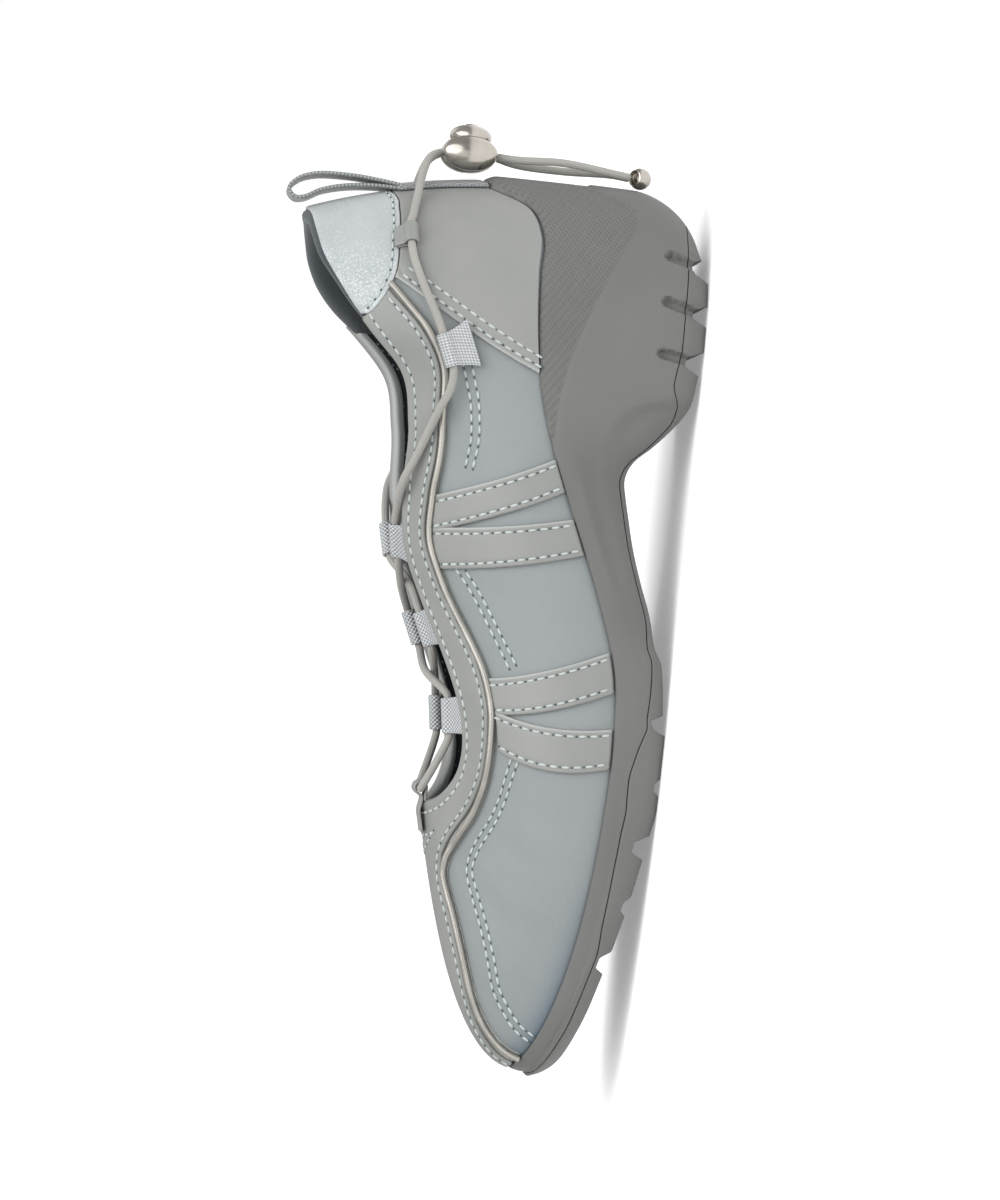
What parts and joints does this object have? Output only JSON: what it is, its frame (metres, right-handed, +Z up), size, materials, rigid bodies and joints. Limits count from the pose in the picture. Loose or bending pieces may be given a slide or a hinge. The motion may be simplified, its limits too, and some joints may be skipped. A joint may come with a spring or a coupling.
{
  "type": "platform sneaker",
  "caption": "Low platform sneaker with an open instep, crossed elastic lace through webbing loops, cord lock at the heel and lugged wedge sole.",
  "frame": {"origin": "on the ground plane at the middle of the third heel lug's tread, under the heel's centre line", "axes": "+X from heel to toe, +Y to the shoe's outer (lateral) side, +Z up"},
  "size_m": [0.2811, 0.0899, 0.1271],
  "materials": {
    "fabric": "matt fine weave",
    "leather": "satin fine grain",
    "suede": "sparkling nap",
    "piping": "metallic satin",
    "outsole": "matt",
    "midsole": "matt",
    "insole": "satin",
    "webbing": "basket weave",
    "cord": "fine braid",
    "metal": "polished"
  },
  "bodies": {
    "shoe": {"outsole": "outsole", "midsole": "midsole", "insole": "insole", "upper": "fabric", "eyestay": "leather", "heel_counter": "leather", "collar_patch": "suede", "side_band_rear_lateral": "leather", "side_band_rear_medial": "leather", "side_band_front_lateral": "leather", "side_band_front_medial": "leather", "piping_lateral": "piping", "piping_medial": "piping", "heel_pull": "webbing", "throat_loop_rear_lateral": "webbing", "throat_loop_middle_medial": "webbing", "throat_loop_front_lateral": "webbing", "throat_loop_front_medial": "webbing", "throat_loop_middle_lateral": "webbing", "throat_loop_rear_medial": "webbing", "side_loop_lateral": "webbing", "side_loop_medial": "webbing", "keeper_lateral": "leather", "keeper_medial": "leather", "lace": "cord", "lace_tail_lateral": "cord", "lace_tail_medial": "cord", "bead": "metal", "lock_body": "metal"},
    "button": {"lock_button": "metal"}
  },
  "joints": [
    {"name": "lock_press", "type": "slide", "parent": "shoe", "child": "button", "axis": [1, 0, 0], "range_m": [0, 0.0025], "stiffness_N_per_m": 800, "springref_m": -0.002}
  ]
}
